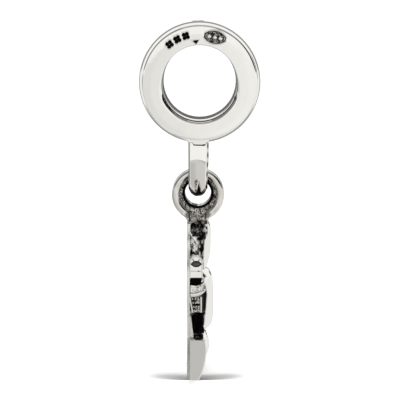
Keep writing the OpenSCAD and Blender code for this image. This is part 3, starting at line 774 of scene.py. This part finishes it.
def curlPieces(c):
    # the arched rim, the filling under it, a black lens that is a little lighter inside, and a black pad in the gap
    # below, which is painted shade
    back = c["face"] + c["run"]
    rim = closedEnds(ribbon(archCurve(c, c["wall"]), archCurve(c, 0), c["face"], back, c["round"]))
    filling = evenly(archCurve(c, c["wall"] - 0.03), 150)
    filling = pillow(filling, c["face"] + c["fillBack"], back, 0.04, rings=44)
    x, z = filling[..., 0], filling[..., 2]
    dark = bell(np.hypot(x - c["dotX"], z - c["dotZ"]), c["dotR"])
    for side in (-1, 1):
        u, w = x - c["x"] - side * c["slitX"], z - c["slitZ"]
        dark = np.maximum(dark, bell(u + side * w, c["slitL"]) * bell(u - side * w, c["slitW"]))
    filling[..., 1] += c["shelfDepth"] * ease(c["shelf"] + 0.03, c["shelf"] - 0.03, z)
    outline = evenly(softCorners(c["lens"], c["lensCuts"]), 110)
    lens = pillow(outline, c["face"] + 0.02, c["face"] + 0.2, 0.03, rings=18)
    fromEdge = np.min(np.linalg.norm(lens[:, :, None, ::2] - outline, axis=-1), axis=2)
    lensTone = 1 - (1 - c["lensMiddle"]) * ease(0.0, 0.08, fromEdge)
    # painted shade: a black pad set back in the gap
    gap = pillow(evenly(softCorners(c["gap"], c["gapCuts"]), 100), c["face"] + c["gapBack"], back, 0.02)
    return (sidePiece(rim) + sidePiece(filling, ease(0.3, 0.6, dark)) + sidePiece(lens, lensTone)
            + sidePiece(gap, 1.0))


cup = {
    "x": 0.36, "z": -0.322 * body["length"], "r": 0.95, "inner": 0.66, "shift": 0.12, "face": -4.55, "run": 0.6,
    # the crescent's ends in degrees, its thickness as a share at its tip and the share added at its foot
    "from": -99, "to": -31, "tip": 0.2, "swell": 0.5, "round": 0.1,
    "bed": ((0.22, -3.23), (0.9, -3.23), (1.02, -3.05), (0.98, -3.4), (0.7, -3.72), (0.22, -3.78)), "bedBack": 0.08,
    "bedTone": 0.07, "bedGrain": 0.05, "bedCell": 0.085,
    # the hook hangs from its top in a shallow bow, and its rod swells and thins along it
    "hookX": 0.93, "hookTop": -2.72, "hookL": 0.5, "hookBow": 0.14, "hookR": 0.055, "hookSwell": 0.02, "hookTone": 0.1,
}


def cupPieces(c):
    # a crescent between two circles, the rough bed inside it, and the small hook that ties the curl to the cup
    turn = np.radians(np.linspace(c["from"], c["to"], 70))
    ring = np.array([np.cos(turn), np.sin(turn)]).T
    outer = c["r"] * ring + [c["x"], c["z"]]
    inner = c["inner"] * ring + [c["x"], c["z"] + c["shift"]]
    taper = ease(1.05, 0.5, np.linspace(0, 1, 70))[:, None]
    inner = outer + (inner - outer) * (c["tip"] + c["swell"] * taper)
    back = c["face"] + c["run"]
    bed = evenly(softCorners(c["bed"], 0.05)[::-1], 90)
    bed = pillow(bed, c["face"] + c["bedBack"], back, 0.04, rings=30)
    t = np.linspace(0, 1, 40)
    hook = levelRod(c["hookX"] + c["hookBow"] * np.sin(t * pi * 1.1), c["face"] + 0.05,
                    c["hookTop"] - c["hookL"] * t, c["hookR"] + c["hookSwell"] * np.sin(t * pi * 3))
    return (sidePiece(closedEnds(ribbon(inner, outer, c["face"], back, c["round"])))
            + sidePiece(bed, c["bedTone"], c["bedGrain"], c["bedCell"], 11)
            + sidePiece(hook, c["hookTone"]))


seeds = {
    "face": -0.89 * body["halfW"], "z": -0.478 * body["length"], "h": 0.1 * body["length"], "run": 0.8,
    "backTop": 0.18, "backFoot": 0.36, "front": 0.86, "r": 0.063, "rib": 0.055, "columns": 3, "rows": 4,
    "margin": 0.35, "panelTone": 0.75, "panelGrain": 0.03, "panelCell": 0.08, "seedTone": 0.1,
}


def seedPieces(s):
    # a rough panel whose back edge slants, balls half sunk in it in even rows, and a rod along both edges
    half = s["h"] / 2
    corners = np.array([(s["backTop"], half), (s["backFoot"], -half), (s["front"], -half), (s["front"], half)])
    panel = evenly(softCorners(corners + [0, s["z"]], 0.06), 110)
    panel = pillow(panel, s["face"], s["face"] + s["run"], 0.03, rings=24)
    pieces = sidePiece(panel, s["panelTone"], s["panelGrain"], s["panelCell"], 21)
    lat = np.linspace(-pi / 2, pi / 2, 9)[:, None]
    lon = np.linspace(0, 2 * pi, 16, endpoint=False)
    ball = s["r"] * xyz(np.cos(lat) * np.cos(lon), np.cos(lat) * np.sin(lon), np.sin(lat))
    for row in range(s["rows"]):
        down = (row + 0.5) / s["rows"]
        back = s["backTop"] + (s["backFoot"] - s["backTop"]) * down
        for column in range(s["columns"]):
            across = (column + 0.5 + s["margin"]) / (s["columns"] + 2 * s["margin"])
            centre = [back + (s["front"] - back) * across, s["face"], s["z"] + half - s["h"] * down]
            pieces += sidePiece(ball + centre, s["seedTone"])
    along = np.linspace(0, 1, 24)
    for top, foot in ((s["backTop"], s["backFoot"]), (s["front"], s["front"])):
        pieces += sidePiece(levelRod(top + (foot - top) * along, s["face"], s["z"] + half - s["h"] * along, s["rib"]))
    return pieces


# Black pads of painted shade, deep in the flank's recess and on the shelf under it: face, softness of the corners,
# points, darkness, outline
recess = {"back": -1.8, "edge": 0.02, "pads": (
    (-2.3, 0.04, 120, 1.0, ((0.17, -4.9), (0.96, -4.9), (0.98, -6.2), (1.07, -6.42), (1.05, -6.63), (0.38, -6.63))),
    (-2.5, 0.03, 80, 0.9, ((0.4, -6.75), (1.0, -6.75), (1.0, -6.92), (0.4, -6.92))),
)}


def recessPieces(c):
    # sharp-edged black pads of painted shade
    pieces = []
    for face, cuts, count, tone, corners in c["pads"]:
        pieces += sidePiece(pillow(evenly(softCorners(corners, cuts), count), face, c["back"], c["edge"]), tone)
    return pieces


makePiece("sideCurls", curlPieces(curl), polishedSilver, "pendant", "pendant")
makePiece("curlCups", cupPieces(cup), polishedSilver, "pendant", "pendant")
makePiece("sideRecessShade", recessPieces(recess), castSilver, "pendant", "pendant")
makePiece("seedHeads", seedPieces(seeds), castSilver, "pendant", "pendant")
print("stage: side details ready")


# Table, light and camera

def matteMaterial(name, colour, roughness, glow=0.0):
    # one even colour that takes no mirror image, and glows white a little where a glow is given
    material = bpy.data.materials.new(name)
    material.use_nodes = True
    inputs = material.node_tree.nodes["Principled BSDF"].inputs
    inputs["Base Color"].default_value = linearColour(colour)
    inputs["Roughness"].default_value = roughness
    inputs["Emission Color"].default_value = (1, 1, 1, 1)
    inputs["Emission Strength"].default_value = glow
    return material


def placeAndAim(thing, place, aim):
    # at place, looking along its own -Z at aim, both in millimetres
    thing.location = Vector(place) * mm
    thing.rotation_euler = (Vector(aim) - Vector(place)).to_track_quat("-Z", "Y").to_euler()


scene = bpy.context.scene
card = {"halfW": 3.1, "x": -0.2, "front": -1.94, "depth": 1.15, "lift": 0.02, "rise": 0.85, "ends": 1.7, "bend": 1.9}
ground = {"half": 400, "gap": 0.03}

# The table has a front and a back part, which meet at the card's front edge
tableZ = min(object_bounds()[0][2], cadBox[0][2]) / mm - ground["gap"]
half = ground["half"]
corners = [(x, y, tableZ) for y in (-half, card["front"], half) for x in (-half, half)]
tableMesh = newMesh("table", corners, [(0, 1, 3, 2), (2, 3, 5, 4)])
# White paper that glows, as painted light: the charm's foot throws no shadow there
tableMesh.materials.append(matteMaterial("glowingWhiteTable", "#fbfbfb", 0.9, 0.5))
# White paper with only a faint glow: takes the card's shadow
tableMesh.materials.append(matteMaterial("matteWhiteTable", "#fbfbfb", 0.9, 0.03))
tableMesh.polygons[1].material_index = 1
table = addObject("table", tableMesh)
table.visible_glossy = False

# A black card over the table behind the charm's foot, out of sight: its front edge all but touches the table and
# makes the shadow's sharp front line, and it rises backwards and to both ends
across, along = np.meshgrid(np.linspace(-1, 1, 41), np.linspace(0, 1, 25))
rise = card["lift"] + card["rise"] * along + card["ends"] * np.abs(across) ** card["bend"]
points, quads, _ = gridSurface(xyz(card["x"] + card["halfW"] * across, card["front"] + card["depth"] * along,
                                   tableZ + rise), wrapColumns=False)
cardMesh = newMesh("shadowCard", points, quads)
# Black card: throws back almost no light
cardMesh.materials.append(matteMaterial("matteBlackCard", "#050505", 0.5))
shadowCard = addObject("shadowCard", cardMesh)
shadowCard.visible_camera = False
shadowCard.visible_glossy = False

scene.view_settings.view_transform = "Standard"

# The light tent round the object, seen only in its gloss. Levels by height of the direction, then panels, each a
# box of directions: its brightness, and its low end, high end and softness along x, y (away) and z, or None
tent = {
    "heights": ((0.0, 0.8), (0.3, 0.84), (0.47, 0.88), (0.515, 1.0), (1.0, 0.96)),
    "panels": (
        (0.9, None, (0.1, 1.2, 0.2), (-0.8, 0.02, 0.1)),
        (0.66, (-0.4, 0.4, 0.1), (-1.2, 0.5, 0.2), (-1.2, -0.24, 0.05)),
        (0.54, (-0.4, -0.04, 0.14), (-1.2, 0.0, 0.3), (-1.2, -0.24, 0.05)),
        (0.88, None, (-1.2, -0.75, 0.1), (-0.22, 0.02, 0.04)),
        (0.96, (0.0, 1.4, 0.22), (-1.2, -0.75, 0.1), (-0.2, 0.02, 0.04)),
        (0.8, (-1.4, -0.03, 0.16), (-1.2, -0.75, 0.1), (-0.2, 0.02, 0.04)),
        (0.5, (-1.4, -0.62, 0.1), (-0.7, 0.75, 0.1), (-0.7, 0.1, 0.1)),
        (0.22, None, (-0.78, 0.25, 0.08), (0.16, 1.2, 0.08)),
        (0.9, (-0.3, 0.3, 0.03), (-0.42, -0.2, 0.03), (0.6, 1.2, 0.03)),
        (0.56, (-0.35, 0.35, 0.1), (-1.2, -0.8, 0.05), (0.3, 0.55, 0.06)),
        (0.01, (0.5, 1.2, 0.05), (-0.86, 0.1, 0.05), (0.14, 0.66, 0.05)),
        (0.02, (0.36, 0.64, 0.1), (0.76, 0.9, 0.05), (0.0, 0.22, 0.08)),
        (0.36, (-0.34, 0.34, 0.1), (0.9, 1.2, 0.02), (-0.46, -0.17, 0.03)),
        (0.28, None, (0.968, 1.2, 0.014), (-1.2, 0.03, 0.03)),
        (0.3, None, (0.945, 0.989, 0.008), (0.02, 0.34, 0.03)),
    ),
    "backdrop": 1.05,
}


def greyLevel(level):
    return level, level, level, 1


world = bpy.data.worlds.new("studio")
scene.world = world
world.use_nodes = True
sky = world.node_tree
sky.nodes.clear()
direction = addNode(sky, "TexCoord")
parts = addNode(sky, "SeparateXYZ", {"Vector": (direction, "Generated")})
height = addNode(sky, "MapRange", {"Value": (parts, "Z")}, {"From Min": -1.0, "From Max": 1.0})
upDown = addNode(sky, "ValToRGB", {"Fac": (height, "Result")})
ramp = upDown.color_ramp.elements
ramp.remove(ramp[1])
ramp[0].position, ramp[0].color = 0.0, greyLevel(tent["heights"][0][1])
for at, level in tent["heights"][1:]:
    ramp.new(at).color = greyLevel(level)
surround = (upDown, "Color")
for level, *axes in tent["panels"]:
    inside = None
    for axis, ends in zip("XYZ", axes):
        if not ends:
            continue
        low, high, soft = ends
        off = addNode(sky, "Math", {0: (parts, axis)}, {1: (low + high) / 2}, operation="SUBTRACT")
        off = addNode(sky, "Math", {0: (off, "Value")}, operation="ABSOLUTE")
        edge = (high - low) / 2
        near = addNode(sky, "MapRange", {"Value": (off, "Value")},
                       {"From Min": edge + soft / 2, "From Max": edge - soft / 2}, interpolation_type="SMOOTHSTEP")
        if inside:
            both = addNode(sky, "Math", {0: inside, 1: (near, "Result")}, operation="MULTIPLY")
            inside = (both, "Value")
        else:
            inside = (near, "Result")
    mixed = addNode(sky, "Mix", {"Factor": inside, "A": surround}, {"B": greyLevel(level)}, data_type="RGBA")
    surround = (mixed, "Result")
ray = addNode(sky, "LightPath")
pick = addNode(sky, "Mix", {"Factor": (ray, "Is Glossy Ray"), "B": surround}, {"A": greyLevel(tent["backdrop"])},
               data_type="RGBA")
backdrop = addNode(sky, "Background", {"Color": (pick, "Result")}, {"Strength": 1.0})
addNode(sky, "OutputWorld", {"Surface": (backdrop, "Background")})

# One soft light from above and in front, for what isn't silver
softbox = {"place": (0, -60, 150), "aim": (0, 0, -10), "width": 160, "height": 120, "power": 0.25}
light = bpy.data.lights.new("topSoftbox", "AREA")
light.shape = "RECTANGLE"
light.size, light.size_y = softbox["width"] * mm, softbox["height"] * mm
light.energy = softbox["power"]
lamp = addObject("topSoftbox", light)
placeAndAim(lamp, softbox["place"], softbox["aim"])
lamp.visible_glossy = False

shot = {"aim": (0.02, 0, -7.32), "distance": 90, "elevation": 6.94, "lens": 130.6, "sensor": 36, "near": 1, "far": 5000}
camera = bpy.data.cameras.new("shot")
camera.lens = shot["lens"]
camera.sensor_width = shot["sensor"]
camera.clip_start, camera.clip_end = shot["near"] * mm, shot["far"] * mm
tilt = radians(shot["elevation"])
viewer = addObject("shot", camera)
placeAndAim(viewer, Vector(shot["aim"]) + shot["distance"] * Vector((0, -cos(tilt), sin(tilt))), shot["aim"])
scene.camera = viewer
print("stage: light and camera ready")
